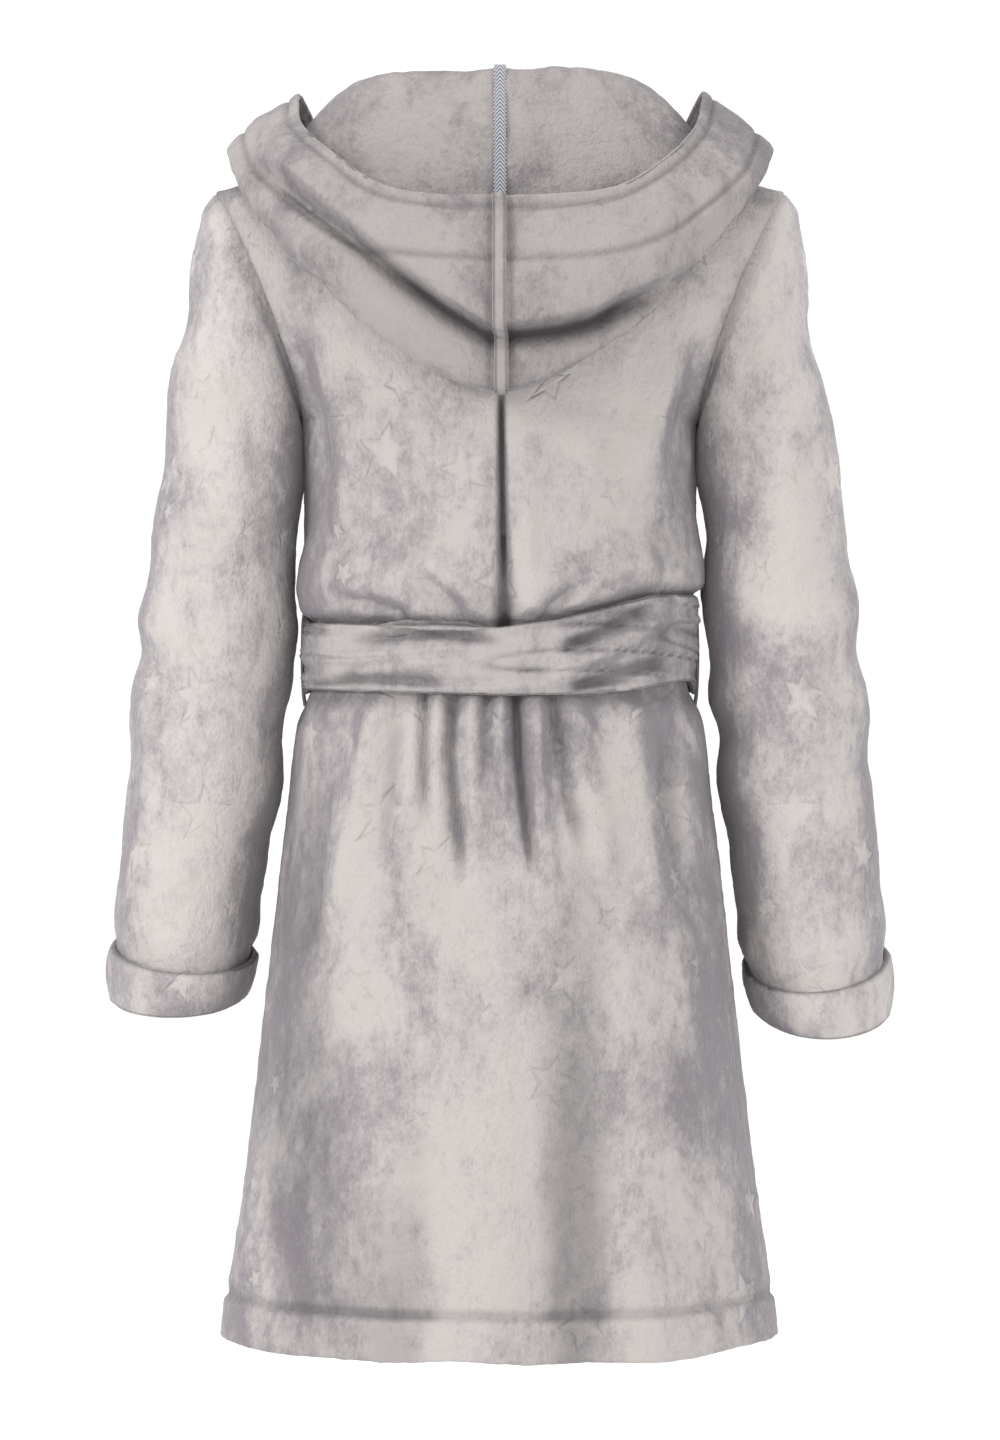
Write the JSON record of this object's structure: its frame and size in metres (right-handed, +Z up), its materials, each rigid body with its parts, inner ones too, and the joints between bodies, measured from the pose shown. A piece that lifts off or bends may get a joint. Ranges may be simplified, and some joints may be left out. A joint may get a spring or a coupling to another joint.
{
  "type": "hooded bathrobe",
  "caption": "Short hooded wrap bathrobe in plush fleece, shaped as worn: hood down on the back, long cuffed sleeves, patch pockets and a tied fabric belt.",
  "frame": {"origin": "middle of the gap behind the hanging loop at the inside of the back neck, where a hook goes", "axes": "+Z up, +Y behind the wearer, +X at the wearer's left"},
  "size_m": [0.598, 0.3342, 0.9521],
  "materials": {
    "plush": "soft cut-pile fleece",
    "facing": "soft cut-pile fleece",
    "tape": "woven herringbone tape",
    "label": "smooth woven satin"
  },
  "bodies": {
    "robe": {"back_panel": "plush", "front_panel_left": "plush", "front_panel_right": "plush", "belt": "plush", "belt_loop_left": "plush", "belt_loop_right": "plush", "belt_knot": "plush", "pocket_left": "plush", "pocket_right": "plush", "hood_collar_left": "plush", "hood_collar_right": "plush", "front_band_left": "facing", "front_band_right": "facing", "hem_back": "facing", "hem_front_left": "facing", "hem_front_right": "facing", "pocket_hem_left": "facing", "pocket_hem_right": "facing", "collar_facing_left": "facing", "collar_facing_right": "facing", "neck_tape": "tape", "hanging_loop": "tape", "neck_seam_tape": "tape", "neck_label": "label", "care_label": "label"},
    "sleeve_left": {"sleeve_left": "plush", "cuff_left": "plush"},
    "sleeve_right": {"sleeve_right": "plush", "cuff_right": "plush"},
    "hood": {"hood_drape_left": "plush", "hood_drape_right": "plush", "hood_facing_left": "facing", "hood_facing_right": "facing", "hood_seam_tape": "tape"},
    "belt_tail_left": {"belt_end_left": "plush"},
    "belt_tail_right": {"belt_end_right": "plush"}
  },
  "joints": [
    {"name": "sleeve_left_lift", "type": "hinge", "parent": "robe", "child": "sleeve_left", "pos_m": [0.2163, -0.0505, -0.0131], "axis": [0, -1, 0], "range_deg": [0, 80]},
    {"name": "sleeve_right_lift", "type": "hinge", "parent": "robe", "child": "sleeve_right", "pos_m": [-0.2163, -0.0505, -0.0131], "axis": [0, 1, 0], "range_deg": [0, 80]},
    {"name": "hood_lift", "type": "hinge", "parent": "robe", "child": "hood", "pos_m": [0, 0.0155, 0.0749], "axis": [1, 0, 0], "range_deg": [0, 50]},
    {"name": "belt_end_left_swing", "type": "hinge", "parent": "robe", "child": "belt_tail_left", "pos_m": [0.02, -0.1972, -0.3915], "axis": [-1, 0, 0], "range_deg": [0, 60]},
    {"name": "belt_end_right_swing", "type": "hinge", "parent": "robe", "child": "belt_tail_right", "pos_m": [-0.02, -0.1972, -0.3915], "axis": [-1, 0, 0], "range_deg": [0, 60]}
  ]
}
